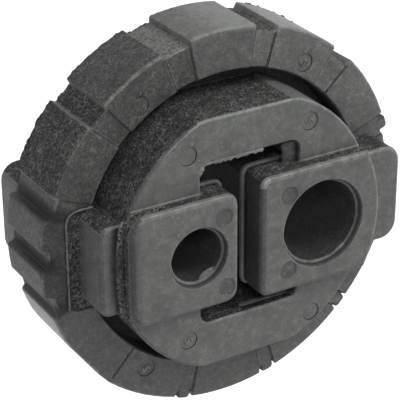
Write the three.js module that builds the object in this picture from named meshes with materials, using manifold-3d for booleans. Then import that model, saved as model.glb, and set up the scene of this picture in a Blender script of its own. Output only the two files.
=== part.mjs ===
// Exhaust hanger rubber: a padded ring around a slotted core with two bored blocks, moulded in one piece.
// Millimetres, +Z up. The ring's axis lies along Y, the photographed face looks along -Y.
import * as THREE from 'three';
import Module from 'manifold-3d';

const wasm = await Module();
wasm.setup();

// Outer ring.
const PAD_RADIUS = 32.4;
const PAD_EDGE_WIDTH = 0.85;
const PAD_EDGE_DEPTH = 0.35;
const GAP_DEPTH = 1;
const GAP_EDGE = 0.35;
const GAP_FACE_STEP = 0.35;
const RIB_RISE = 0.45;
const LOW_DEPTH = 0.75;
const ARM_FACE_STEP = 0.15;
const RIB_EDGE_WIDTH = 1.2;
const LOW_EDGE_WIDTH = 0.7;
const CHEEK_FACE_STEP = 0.3;
const CHEEK_CUT = 0.4;
const CHEEK_CUT_ANGLE = 216;
const RING_WALL = 7.15;
const RING_WIDTH = 12.85;
const RING_INNER_EDGE = 0.3;
const SECTOR_RAMP = 0.35;

// Small lugs in four of the gaps, near the front edge.
const LUG_ANGLES = [17.3, 255.4, 285.2, 315.8];
const LUG_RISE = 0.35;
const LUG_WIDTH = 2.4;
const LUG_LENGTH = 3;
const LUG_ROOT = 1.5;
const LUG_CORNER = 0.7;
const LUG_EDGE = 0.35;

// Core disc with two flats.
const CORE_GAP = 1.95;
const CORE_FLAT_CUT = 1.7;
const CORE_RISE = 6.8;
const CORE_EDGE = 0.45;

// Membrane half way down the groove between the core and the ring.
const MEMBRANE_THICKNESS = 2;
const MEMBRANE_FILLET = 0.5;
const MEMBRANE_ROOT = 1;

// Slot shaped like an I, left between the window in the core and the two blocks.
const WINDOW_TOP = 14.4;
const WINDOW_BOTTOM = 13.5;
const WINDOW_LEFT = 8.8;
const WINDOW_RIGHT = 9.1;
const WINDOW_CORNER = 1.6;
const WINDOW_EDGE = 0.3;
const WINDOW_LIP = 2;
const LIP_STEP = 0.35;
const SLOT_WIDTH = 3.9;
const SLOT_CENTRE = -1.35;

// Block around the small bore, on the left.
const LEFT_BLOCK_MARGIN = 0.9;
const LEFT_BLOCK_HALF = 9.5;
const LEFT_BLOCK_RISE = 9.1;
const LEFT_BLOCK_CORNER = 2.3;
const LEFT_BLOCK_OUTER_CORNER = 3;

// Block around the large bore, on the right.
const RIGHT_BLOCK_STEP = 0.05;
const RIGHT_BLOCK_HALF = 10.5;
const RIGHT_BLOCK_RISE = 9.4;
const RIGHT_BLOCK_CORNER = 1.6;
const BLOCK_EDGE = 0.8;

// Bores for the two steel pins.
const SMALL_BORE_RADIUS = 4.885;
const SMALL_BORE_X = -10.4;
const LARGE_BORE_RADIUS = 7.35;
const LARGE_BORE_X = 12.3;
const BORE_MOUTH_DEPTH = 1;
const BORE_LIP = 0.45;
const BORE_LIP_LENGTH = 1.4;
const BORE_RELIEF = 0.2;
const BORE_EDGE = 0.25;

// Arms that carry the core on the ring.
const WEB_HALF = 7;
const WEB_STEP = 0.3;
const LEFT_ARM_LAP = 0.65;
const LEFT_ARM_TOP = 7.4;
const LEFT_ARM_BOTTOM = 7.9;
const LEFT_ARM_RISE = 5.9;
const LEFT_ARM_CORNER = 1.6;
const RIGHT_ARM_LAP = 4.55;
const RIGHT_ARM_TOP = 8.2;
const RIGHT_ARM_BOTTOM = 8.7;
const RIGHT_ARM_RISE = 5.75;
const RIGHT_ARM_CORNER = 3;
const REAR_ARM_LAP = 4.05;
const REAR_ARM_HALF = 8.15;
const REAR_ARM_RISE = 9.15;
const REAR_ARM_CORNER = 3;
const ARM_EDGE = 0.6;
const ARM_ROOT = 2;
const MOAT_WIDTH = 2.5;
const MOAT_MARGIN = 1.1;
const MOAT_DEPTH = 0.5;
const MOAT_CORNER = 1.8;

// Round marks of the ejector pins.
const MARK_RADIUS = 1.5;
const MARK_DEPTH = 0.15;
const RING_MARK_MARGIN = 2.45;
const RING_MARK_ANGLES = [59, 123.5, 236.7];
const CORE_MARKS = [[-11, 16.4], [10.9, 17.1], [-11.2, -15.7], [12.1, -17.5]];
const LEFT_BLOCK_MARKS = [[-6.1, 5.8], [-5.5, -6.5]];
const RIGHT_BLOCK_MARKS = [[5.7, 6.6], [5.7, -6.6]];

const RING_STEP_DEG = 3.6;
const CIRCLE_STEPS = 44;
const CORNER_STEPS = 5;
const EDGE_STEPS = 2;
const OVERSHOOT = 1;

// Sectors of the ring, in degrees counter-clockwise from +X seen from the front.
const SECTORS = [
  [-8.3, 1.6, 'rib'], [1.6, 13.9, 'low'], [13.9, 20.6, 'gap'], [20.6, 43.3, 'pad'],
  [43.3, 50.8, 'gap'], [50.8, 73.3, 'pad'], [73.3, 80.2, 'gap'], [80.2, 101.9, 'pad'],
  [101.9, 110, 'gap'], [110, 131.3, 'pad'], [131.3, 138, 'gap'], [138, 159.7, 'pad'],
  [159.7, 166.3, 'low'], [166.3, 175.5, 'rib'], [175.5, 181.3, 'low'], [181.3, 189.8, 'rib'],
  [189.8, 196.8, 'low'], [196.8, 227.2, 'cheek'], [227.2, 252.4, 'pad'], [252.4, 257.9, 'gap'],
  [257.9, 282.4, 'pad'], [282.4, 287.6, 'gap'], [287.6, 313.3, 'pad'], [313.3, 318.3, 'gap'],
  [318.3, 342.4, 'pad'], [342.4, 351.7, 'low'],
];

const padEdge = [PAD_EDGE_WIDTH, PAD_EDGE_DEPTH];

const SECTION = {
  pad: { radius: PAD_RADIUS, step: 0, edge: padEdge },
  cheek: { radius: PAD_RADIUS, step: CHEEK_FACE_STEP, edge: padEdge },
  gap: { radius: PAD_RADIUS - GAP_DEPTH, step: GAP_FACE_STEP, edge: [GAP_EDGE, GAP_EDGE] },
  rib: { radius: PAD_RADIUS + RIB_RISE, step: ARM_FACE_STEP, edge: [RIB_EDGE_WIDTH, PAD_EDGE_DEPTH] },
  low: { radius: PAD_RADIUS - LOW_DEPTH, step: ARM_FACE_STEP, edge: [LOW_EDGE_WIDTH, PAD_EDGE_DEPTH] },
};

const half = RING_WIDTH / 2;
const ringInner = PAD_RADIUS - RING_WALL;
const coreRadius = ringInner - CORE_GAP;
const leftBlockOut = coreRadius - LEFT_BLOCK_MARGIN;
const rightBlockRadius = coreRadius + RIGHT_BLOCK_STEP;
const leftArmOut = ringInner + LEFT_ARM_LAP;
const rightArmOut = ringInner + RIGHT_ARM_LAP;
const rearArmOut = ringInner + REAR_ARM_LAP;
const slotLeft = SLOT_CENTRE - SLOT_WIDTH / 2;
const slotRight = SLOT_CENTRE + SLOT_WIDTH / 2;

// Where the ring's section is set, as [degrees, kind of sector].
const stations = SECTORS.flatMap(([from, to, kind]) => {
  const start = from + SECTOR_RAMP;
  const span = to - SECTOR_RAMP - start;
  const pieces = Math.max(1, Math.round(span / RING_STEP_DEG));
  return Array.from({ length: pieces + 1 }, (_, k) => [start + (span * k) / pieces, kind]);
});

// Closed body from corner positions and triangles, for adding and cutting.
function solid(points, triangles) {
  const mesh = new wasm.Mesh({
    numProp: 3,
    vertProperties: new Float32Array(points.flat()),
    triVerts: new Uint32Array(triangles.flat()),
  });
  return new wasm.Manifold(mesh);
}

// Points of a quarter round between two legs of the same length, as [along, across] from 0 to 1.
function quarter(steps) {
  return Array.from({ length: steps + 1 }, (_, k) => {
    const a = (k / steps) * Math.PI / 2;
    return [1 - Math.cos(a), 1 - Math.sin(a)];
  });
}

// Outline with rounded corners, counter-clockwise from the front, moved inwards by an inset.
function rounded(corners, inset) {
  const points = [];
  corners.forEach(([x, z, radius], i) => {
    const [px, pz] = corners[(i + corners.length - 1) % corners.length];
    const [nx, nz] = corners[(i + 1) % corners.length];
    const u = new THREE.Vector2(x - px, z - pz).normalize();
    const v = new THREE.Vector2(nx - x, nz - z).normalize();
    const left = new THREE.Vector2(-u.y, u.x);
    const shift = new THREE.Vector2(-u.y - v.y, u.x + v.x).multiplyScalar(inset / (1 + u.dot(v)));
    const corner = new THREE.Vector2(x, z).add(shift);
    const turn = Math.atan2(u.cross(v), u.dot(v));
    const r = radius - inset;
    const start = corner.clone().addScaledVector(u, -r * Math.tan(turn / 2));
    const centre = start.clone().addScaledVector(left, r);
    for (let k = 0; k <= CORNER_STEPS; k++) {
      const p = start.clone().rotateAround(centre, (turn * k) / CORNER_STEPS);
      points.push([p.x, p.y]);
    }
  });
  return points;
}

// Rectangle outline given by its sides and the radii of its left and right corners.
function rectangle(x0, x1, z0, z1, leftRadius, rightRadius) {
  const corners = [[x0, z0, leftRadius], [x1, z0, rightRadius], [x1, z1, rightRadius], [x0, z1, leftRadius]];
  return (inset) => rounded(corners, inset);
}

// Full circle outline.
function circle(x, z, radius) {
  return (inset) => Array.from({ length: CIRCLE_STEPS }, (_, k) => {
    const a = (k / CIRCLE_STEPS) * 2 * Math.PI;
    return [x + (radius - inset) * Math.cos(a), z + (radius - inset) * Math.sin(a)];
  });
}

// Stacks one outline through a list of [depth, inset] levels from front to back.
function stack(outline, levels) {
  const loops = levels.map(([y, inset]) => outline(inset).map(([x, z]) => [x, y, z]));
  const count = loops[0].length;
  const flat = loops[0].map(([x, , z]) => new THREE.Vector2(x, z));
  const cap = THREE.ShapeUtils.triangulateShape(flat, []);
  const last = (loops.length - 1) * count;
  const triangles = cap.flatMap(([a, b, c]) => [[a, b, c], [last + a, last + c, last + b]]);
  for (let level = 0; level < loops.length - 1; level++) {
    for (let k = 0; k < count; k++) {
      const a = level * count + k;
      const b = level * count + (k + 1) % count;
      triangles.push([a, a + count, b + count], [a, b + count, b]);
    }
  }
  return solid(loops.flat(), triangles);
}

// Levels of a rounded edge that starts on the front face at depth y.
function frontEdge(y, edge) {
  return quarter(EDGE_STEPS).map(([along, across]) => [y + edge * along, edge * across]);
}

// Levels of a rounded edge that ends on the back face at depth y.
function backEdge(y, edge) {
  return quarter(EDGE_STEPS).reverse().map(([along, across]) => [y - edge * along, edge * across]);
}

// Straight prism between two depths.
function prism(outline, y0, y1) {
  return stack(outline, [[y0, 0], [y1, 0]]);
}

// Sweeps a section of [radius, depth] points round the axis through all stations.
function sweep(sectionAt) {
  const loops = stations.map(([deg, kind]) => {
    const a = THREE.MathUtils.degToRad(deg);
    return sectionAt(deg, kind).map(([r, y]) => [r * Math.cos(a), y, r * Math.sin(a)]);
  });
  const count = loops[0].length;
  const triangles = [];
  loops.forEach((loop, i) => {
    const here = i * count;
    const next = ((i + 1) % loops.length) * count;
    for (let k = 0; k < count; k++) {
      const n = (k + 1) % count;
      triangles.push([here + k, next + n, next + k], [here + k, here + n, next + n]);
    }
  });
  return solid(loops.flat(), triangles);
}

// Adds the mirrored back half to the front half of a section.
function bothSides(front) {
  return [...front, ...front.map(([r, y]) => [r, -y]).reverse()];
}

// Section of the ring. The cheek has a flat on its outside.
function ringSection(deg, kind) {
  const { radius: full, step, edge: [width, depth] } = SECTION[kind];
  const flat = (PAD_RADIUS - CHEEK_CUT) / Math.cos(THREE.MathUtils.degToRad(deg - CHEEK_CUT_ANGLE));
  const radius = kind === 'cheek' ? Math.min(full, flat) : full;
  const face = half - step;
  const outer = quarter(EDGE_STEPS).map(([along, across]) => (
    [radius - width * across, -face + depth * along]
  ));
  return bothSides([[ringInner, -face + RING_INNER_EDGE], [ringInner + RING_INNER_EDGE, -face], ...outer]);
}

// Section of the membrane, rounded into the ring.
function membraneSection() {
  const y = -MEMBRANE_THICKNESS / 2;
  const fillet = quarter(EDGE_STEPS).map(([along, across]) => (
    [ringInner - MEMBRANE_FILLET * across, y - MEMBRANE_FILLET * along]
  ));
  const inner = coreRadius - CORE_FLAT_CUT - MEMBRANE_ROOT;
  return bothSides([[inner, y], ...fillet, [ringInner + MEMBRANE_ROOT, y - MEMBRANE_FILLET]]);
}

// Lugs in the gaps.
function lugs() {
  const root = PAD_RADIUS - GAP_DEPTH - LUG_ROOT;
  const tip = PAD_RADIUS + LUG_RISE;
  const y0 = -half + GAP_FACE_STEP;
  return LUG_ANGLES.map((deg) => {
    const outline = rectangle(root, tip, -LUG_WIDTH / 2, LUG_WIDTH / 2, LUG_CORNER, LUG_CORNER);
    const levels = [...frontEdge(y0, LUG_EDGE), ...backEdge(y0 + LUG_LENGTH, LUG_EDGE)];
    return stack(outline, levels).rotate([0, -deg, 0]);
  }).reduce((all, lug) => all.add(lug));
}

// Webs that join the core to the ring on both sides.
function webs() {
  const inner = coreRadius - ARM_ROOT;
  const outer = ringInner + ARM_ROOT;
  return [[-outer, -inner], [inner, outer]]
    .map(([x0, x1]) => rectangle(x0, x1, -WEB_HALF, WEB_HALF, 1, 1))
    .map((outline) => prism(outline, -half + WEB_STEP, half - WEB_STEP))
    .reduce((left, right) => left.add(right));
}

// Shallow rough moat around the left front arm, to cut from the ring's face.
function moat() {
  const x0 = -leftArmOut - MOAT_WIDTH;
  const z0 = -LEFT_ARM_BOTTOM - MOAT_MARGIN;
  const z1 = LEFT_ARM_TOP + MOAT_MARGIN;
  const outline = rectangle(x0, -coreRadius + ARM_ROOT, z0, z1, MOAT_CORNER, 1);
  return prism(outline, -half - OVERSHOOT, -half + MOAT_DEPTH);
}

// Outline of the core: a circle with a flat above and below.
function coreOutline(inset) {
  const radius = coreRadius - inset;
  const flat = Math.asin((coreRadius - CORE_FLAT_CUT - inset) / radius);
  const side = Array.from({ length: 23 }, (_, k) => -flat + (2 * flat * k) / 22);
  const right = side.map((a) => [radius * Math.cos(a), radius * Math.sin(a)]);
  const left = right.map(([x, z]) => [-x, -z]);
  return [...right, ...left];
}

// Core disc with its window cut through.
function core() {
  const front = -half - CORE_RISE;
  const disc = stack(coreOutline, [...frontEdge(front, CORE_EDGE), ...backEdge(-front, CORE_EDGE)]);
  const outline = rectangle(
    -WINDOW_LEFT, WINDOW_RIGHT, -WINDOW_BOTTOM, WINDOW_TOP, WINDOW_CORNER, WINDOW_CORNER,
  );
  const lip = front + WINDOW_LIP;
  const window = stack(outline, [
    [front - OVERSHOOT, -WINDOW_EDGE], [front, -WINDOW_EDGE], [front + WINDOW_EDGE, 0], [lip, 0],
    [lip + LIP_STEP, -LIP_STEP], [-lip - LIP_STEP, -LIP_STEP],
    [-lip, 0], [-front - WINDOW_EDGE, 0], [-front, -WINDOW_EDGE], [-front + OVERSHOOT, -WINDOW_EDGE],
  ]);
  return disc.subtract(window);
}

// One block through the whole depth, with a lip at the slot's mouths.
function block(outline, rise) {
  const front = -half - rise;
  const lip = -half - CORE_RISE + WINDOW_LIP;
  return stack(outline, [
    ...frontEdge(front, BLOCK_EDGE), [lip, 0], [lip + LIP_STEP, LIP_STEP],
    [-lip - LIP_STEP, LIP_STEP], [-lip, 0], ...backEdge(-front, BLOCK_EDGE),
  ]);
}

// Outline of the right block: square towards the slot, round towards the ring.
function rightBlockOutline(inset) {
  const radius = rightBlockRadius - inset;
  const top = Math.asin((RIGHT_BLOCK_HALF - inset) / radius);
  const arc = Array.from({ length: 13 }, (_, k) => -top + (2 * top * k) / 12);
  const corners = rectangle(
    slotRight, rightBlockRadius, -RIGHT_BLOCK_HALF, RIGHT_BLOCK_HALF, RIGHT_BLOCK_CORNER, 2,
  )(inset);
  const lower = corners.slice(0, CORNER_STEPS + 1);
  const upper = corners.slice(-CORNER_STEPS - 1);
  return [...lower, ...arc.map((a) => [radius * Math.cos(a), radius * Math.sin(a)]), ...upper];
}

// Both blocks.
function blocks() {
  const left = rectangle(
    -leftBlockOut, slotLeft, -LEFT_BLOCK_HALF, LEFT_BLOCK_HALF, LEFT_BLOCK_OUTER_CORNER, LEFT_BLOCK_CORNER,
  );
  return block(left, LEFT_BLOCK_RISE).add(block(rightBlockOutline, RIGHT_BLOCK_RISE));
}

// Arm outline from inside the core out to x, on the left or on the right.
function armOutline(x, bottom, top, corner) {
  const root = Math.sign(x) * (coreRadius - ARM_ROOT);
  return x < 0 ? rectangle(x, root, bottom, top, corner, 1) : rectangle(root, x, bottom, top, 1, corner);
}

// Arm on the front of the ring.
function frontArm(x, bottom, top, rise, corner) {
  const levels = [...frontEdge(-half - rise, ARM_EDGE), [-half + ARM_ROOT, 0]];
  return stack(armOutline(x, bottom, top, corner), levels);
}

// Arm on the back of the ring.
function rearArm(x) {
  const levels = [[half - ARM_ROOT, 0], ...backEdge(half + REAR_ARM_RISE, ARM_EDGE)];
  return stack(armOutline(x, -REAR_ARM_HALF, REAR_ARM_HALF, REAR_ARM_CORNER), levels);
}

// All four arms.
function arms() {
  return frontArm(-leftArmOut, -LEFT_ARM_BOTTOM, LEFT_ARM_TOP, LEFT_ARM_RISE, LEFT_ARM_CORNER)
    .add(frontArm(rightArmOut, -RIGHT_ARM_BOTTOM, RIGHT_ARM_TOP, RIGHT_ARM_RISE, RIGHT_ARM_CORNER))
    .add(rearArm(-rearArmOut))
    .add(rearArm(rearArmOut));
}

// Bore through a block, with a mouth and a tighter lip at both ends.
function bore(x, radius, rise) {
  const face = -half - rise;
  const mouth = face + BORE_MOUTH_DEPTH;
  const lip = mouth + BORE_LIP_LENGTH;
  const front = [
    [face - OVERSHOOT, -BORE_EDGE], [face, -BORE_EDGE], [face + BORE_EDGE, 0], [mouth, 0],
    [mouth, BORE_LIP], [lip, BORE_LIP], [lip + BORE_RELIEF, BORE_LIP - BORE_RELIEF],
  ];
  const back = front.map(([y, inset]) => [-y, inset]).reverse();
  return stack(circle(x, 0, radius), [...front, ...back]);
}

// Shallow round mark in a front face.
function mark(x, z, rise) {
  return prism(circle(x, z, MARK_RADIUS), -half - rise - OVERSHOOT, -half - rise + MARK_DEPTH);
}

// All marks of the ejector pins.
function marks() {
  const radius = ringInner + RING_MARK_MARGIN;
  const onRing = RING_MARK_ANGLES.map((deg) => {
    const a = THREE.MathUtils.degToRad(deg);
    return mark(radius * Math.cos(a), radius * Math.sin(a), 0);
  });
  const onCore = CORE_MARKS.map(([x, z]) => mark(x, z, CORE_RISE));
  const onLeft = LEFT_BLOCK_MARKS.map(([x, z]) => mark(x, z, LEFT_BLOCK_RISE));
  const onRight = RIGHT_BLOCK_MARKS.map(([x, z]) => mark(x, z, RIGHT_BLOCK_RISE));
  return [...onRing, ...onCore, ...onLeft, ...onRight];
}

// The finished rubber as one body.
function rubber() {
  let body = sweep(ringSection).add(lugs()).add(webs()).subtract(moat()).add(sweep(membraneSection));
  body = body.add(core()).add(blocks()).add(arms());
  body = body.subtract(bore(SMALL_BORE_X, SMALL_BORE_RADIUS, LEFT_BLOCK_RISE));
  body = body.subtract(bore(LARGE_BORE_X, LARGE_BORE_RADIUS, RIGHT_BLOCK_RISE));
  for (const cutter of marks()) {
    body = body.subtract(cutter);
  }
  return body.getMesh();
}

function toGeometry(mesh) {
  const geometry = new THREE.BufferGeometry();
  geometry.setAttribute('position', new THREE.BufferAttribute(mesh.vertProperties, 3));
  geometry.setIndex(new THREE.BufferAttribute(mesh.triVerts, 1));
  geometry.computeVertexNormals();
  return geometry;
}

const rubberMaterial = new THREE.MeshStandardMaterial({ color: 0x3c3e3c, roughness: 0.75, metalness: 0 });
const group = new THREE.Group();
const hanger = new THREE.Mesh(toGeometry(rubber()), rubberMaterial);
hanger.name = 'hanger_rubber';
group.add(hanger);

export default group;
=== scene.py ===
"""Exhaust hanger rubber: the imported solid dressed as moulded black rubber.

The solid's own form is kept. A merged copy of it gets rounded edges, a rough skin where the mould was
spark-eroded, and one rubber finish whose grain, tone, dust and gloss follow the zones of the moulding.
"""

import logging
import math
from dataclasses import dataclass, field
from enum import Enum
from typing import ClassVar

import bmesh
import bpy
from mathutils import Matrix, Vector, noise


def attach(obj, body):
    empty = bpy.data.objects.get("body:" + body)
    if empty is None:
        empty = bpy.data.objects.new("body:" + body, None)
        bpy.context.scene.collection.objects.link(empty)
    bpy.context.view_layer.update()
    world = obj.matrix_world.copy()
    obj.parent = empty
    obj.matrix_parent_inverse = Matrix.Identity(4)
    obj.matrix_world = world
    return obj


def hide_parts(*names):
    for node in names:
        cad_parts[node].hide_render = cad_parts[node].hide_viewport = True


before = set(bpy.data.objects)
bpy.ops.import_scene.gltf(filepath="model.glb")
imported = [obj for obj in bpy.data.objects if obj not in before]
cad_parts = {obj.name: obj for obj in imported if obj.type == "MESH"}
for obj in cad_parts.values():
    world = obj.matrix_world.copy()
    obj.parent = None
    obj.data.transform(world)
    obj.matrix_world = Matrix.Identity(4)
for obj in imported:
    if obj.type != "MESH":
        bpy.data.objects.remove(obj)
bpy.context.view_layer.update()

MM = 0.001
Span = tuple[float, float]
Colour = tuple[float, float, float, float]
log = logging.getLogger("hanger")


def soft(low: float, high: float, value: float) -> float:
    """Smooth step from 0 at low to 1 at high; low may be the greater one."""
    share = min(1.0, max(0.0, (value - low) / (high - low)))
    return share * share * (3.0 - 2.0 * share)


def within(span: Span, value: float) -> bool:
    """Whether a value lies inside a span."""
    return span[0] < value < span[1]


def turn_of(x: float, z: float) -> float:
    """Angle of a place round the ring's axis in degrees, from 0 at the right, upwards, to 360."""
    return math.degrees(math.atan2(z, x)) % 360.0


class Zone(Enum):
    """Kinds of moulded surface, as (grain, tone, dust, gloss).

    SMOOTH is the flat faces, WALL the plain sides, RIM the slanted rims and TURN those that face down or
    left, painted darker as shade. SATIN, SHEEN, WORN, RIBBED and FLOOR are the pads, the ribs and the upper
    gap of the ring's outside, SHADE and DULL its front. GLOSS is one shining corner, with a lighter tone that
    is partly a painted highlight, ROUGH the spark-eroded skin, SPOT and MARK the ejector marks, with MARK's
    walls painted near black as shade, CREASE the small steps and DEEP the bores and the slot, both painted
    dark as shade.
    """

    SMOOTH = (0.08, 0.53, 0.42, 0.12)
    WALL = (0.15, 0.64, 0.25, 0.1)
    RIM = (0.1, 0.62, 0.35, 0.16)
    # TURN: rims painted darker as shade where they face down or left
    TURN = (0.2, 0.4, 0.2, 0.06)
    SATIN = (0.2, 0.58, 0.3, 0.1)
    SHEEN = (0.12, 0.64, 0.3, 0.55)
    WORN = (0.66, 0.39, 0.5, 0.04)
    RIBBED = (0.42, 0.54, 0.3, 0.14)
    FLOOR = (0.72, 1.12, 0.9, 0.0)
    SHADE = (0.2, 0.46, 0.3, 0.08)
    DULL = (0.36, 0.34, 0.45, 0.05)
    # GLOSS: a lighter tone and a full coat, partly a painted highlight
    GLOSS = (0.0, 0.8, 0.1, 1.0)
    ROUGH = (1.0, 0.33, 1.0, 0.0)
    SPOT = (0.3, 0.43, 0.1, 0.05)
    # MARK: walls of the ejector marks, painted near black as shade
    MARK = (0.2, 0.07, 0.0, 0.0)
    # CREASE and DEEP: painted shade, dark in the small steps, bores, slot and gap
    CREASE = (0.4, 0.24, 0.1, 0.0)
    DEEP = (0.3, 0.21, 0.12, 0.03)

    @property
    def grain(self) -> float:
        """Depth of the mould's grain, from 0 to 1."""
        return self.value[0]

    @property
    def tone(self) -> float:
        """Share of the light rubber colour, from 0; above 1 it is the light colour in full."""
        return self.value[1]

    @property
    def dust(self) -> float:
        """Share of release powder, from 0 to 1."""
        return self.value[2]

    @property
    def gloss(self) -> float:
        """Weight of the smooth skin that shines at a low angle, from 0 to 1."""
        return self.value[3]


class Paint:
    """Writes zones into the face layers that the rubber material reads."""

    names: ClassVar[tuple[str, ...]] = ("grain", "tone", "dust", "gloss", "edge")

    def __init__(self, shape: bmesh.types.BMesh) -> None:
        """Finds or makes the layers of a mesh."""
        floats = shape.faces.layers.float
        self.layers = {name: floats.get(name) or floats.new(name) for name in self.names}

    def put(self, face: bmesh.types.BMFace, zone: Zone, edge: float) -> None:
        """Writes one face's zone and how light its edge is painted, part wear and part painted highlight.

        Args:
            face: The face.
            zone: Its zone.
            edge: How light its edge is painted.
        """
        values = (zone.grain, zone.tone, zone.dust, zone.gloss, edge)
        for name, value in zip(self.names, values):
            face[self.layers[name]] = value

    def edge_of(self, face: bmesh.types.BMFace) -> float:
        """How light a face's edge is painted, part wear and part painted highlight."""
        return face[self.layers["edge"]]


class Socket:
    """An output socket that takes part in plain arithmetic."""

    def __init__(self, kit: "ShaderKit", socket: bpy.types.NodeSocket) -> None:
        self.kit = kit
        self.socket = socket

    def _math(self, operation: str, first: object, second: object = None, clamp: bool = False) -> "Socket":
        """Adds one Math node.

        Args:
            operation: The node's operation.
            first: First value or link.
            second: Second value or link, if the operation has one.
            clamp: Whether the result is kept between 0 and 1.

        Returns:
            The node's value.
        """
        inputs = {0: first} if second is None else {0: first, 1: second}
        return self.kit.node("ShaderNodeMath", {"operation": operation, "use_clamp": clamp}, inputs)

    def __add__(self, other: object) -> "Socket":
        """Sum."""
        return self._math("ADD", self, other)

    def __radd__(self, other: object) -> "Socket":
        """Sum, reflected."""
        return self._math("ADD", other, self)

    def __sub__(self, other: object) -> "Socket":
        """Difference."""
        return self._math("SUBTRACT", self, other)

    def __rsub__(self, other: object) -> "Socket":
        """Difference, reflected."""
        return self._math("SUBTRACT", other, self)

    def __mul__(self, other: object) -> "Socket":
        """Product."""
        return self._math("MULTIPLY", self, other)

    def __rmul__(self, other: object) -> "Socket":
        """Product, reflected."""
        return self._math("MULTIPLY", other, self)

    def away_from(self, middle: float) -> "Socket":
        """Distance of the value from a middle value."""
        return self._math("ABSOLUTE", self - middle)

    def above(self, limit: float) -> "Socket":
        """1 where the value is above a limit, else 0."""
        return self._math("GREATER_THAN", self, limit)

    def clamped(self) -> "Socket":
        """The value kept between 0 and 1."""
        return self._math("ADD", self, 0.0, clamp=True)

    def ramp(self, low: float, high: float) -> "Socket":
        """Spreads the value from 0 to 1 with soft ends.

        Args:
            low: The value that gives 0.
            high: The value that gives 1.

        Returns:
            The spread value.
        """
        settings = {"interpolation_type": "SMOOTHSTEP"}
        inputs = {"Value": self, "From Min": low, "From Max": high}
        return self.kit.node("ShaderNodeMapRange", settings, inputs)

    def beside(self, name: str) -> "Socket":
        """Another output of the same node."""
        return Socket(self.kit, self.socket.node.outputs[name])


class ShaderKit:
    """Builds the nodes of one material or world."""

    def __init__(self, owner: bpy.types.Material | bpy.types.World) -> None:
        """Starts an empty node tree.

        Args:
            owner: A new material or world.
        """
        owner.use_nodes = True
        self.owner = owner
        self.tree = owner.node_tree
        self.tree.nodes.clear()

    def node(
        self,
        kind: str,
        settings: dict[str, object] | None = None,
        inputs: dict[object, object] | None = None,
        output: object = 0,
    ) -> Socket:
        """Adds one node.

        Args:
            kind: The node's type.
            settings: Its properties, set first.
            inputs: Values or links of its sockets, by name or number.
            output: Which output to return, by name or number.

        Returns:
            The chosen output.
        """
        made = self.tree.nodes.new(kind)
        for key, value in (settings or {}).items():
            setattr(made, key, value)
        for key, value in (inputs or {}).items():
            target = made.inputs[key]
            if isinstance(value, Socket):
                self.tree.links.new(value.socket, target)
            else:
                target.default_value = value
        return Socket(self, made.outputs[output]) if made.outputs else Socket(self, None)

    def attribute(self, name: str) -> Socket:
        """The value of a face or vertex attribute."""
        return self.node("ShaderNodeAttribute", {"attribute_name": name}, {}, "Fac")

    def millimetres(self) -> Socket:
        """Object coordinates in millimetres."""
        place = self.node("ShaderNodeTexCoord", {}, {}, "Object")
        return self.node("ShaderNodeVectorMath", {"operation": "SCALE"}, {0: place, "Scale": 1.0 / MM})

    def noise(self, place: Socket, scale: float, detail: float = 2.0, rough: float = 0.5) -> Socket:
        """Smooth noise of so many lumps per millimetre, about 0 to 1."""
        inputs = {"Vector": place, "Scale": scale, "Detail": detail, "Roughness": rough}
        return self.node("ShaderNodeTexNoise", {"noise_dimensions": "3D"}, inputs, 0)

    def mix(self, factor: object, first: object, second: object) -> Socket:
        """Mix of two colours."""
        settings = {"data_type": "RGBA", "blend_type": "MIX"}
        return self.node("ShaderNodeMix", settings, {0: factor, 6: first, 7: second}, 2)

    def specks(self, place: Socket, scale: float, size: float, share: float) -> Socket:
        """Small round specks in some of the cells of a cell pattern.

        Args:
            place: Coordinates in millimetres.
            scale: Cells per millimetre.
            size: Radius of a speck in cells.
            share: Share of the cells that hold one.

        Returns:
            1 inside a speck, 0 outside.
        """
        settings = {"feature": "F1", "voronoi_dimensions": "3D"}
        cell = {"Vector": place, "Scale": scale, "Randomness": 1.0}
        near = self.node("ShaderNodeTexVoronoi", settings, cell, "Distance")
        pick = self.node("ShaderNodeSeparateColor", {}, {0: near.beside("Color")}, 0)
        return (1.0 - near.ramp(size * 0.5, size)) * pick.above(1.0 - share)

    def looked_at(self) -> Socket:
        """1 for rays from the camera, off a gloss or through something clear, else 0."""
        camera = self.node("ShaderNodeLightPath", {}, {}, "Is Camera Ray")
        return (camera + camera.beside("Is Glossy Ray") + camera.beside("Is Transmission Ray")).clamped()


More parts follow.
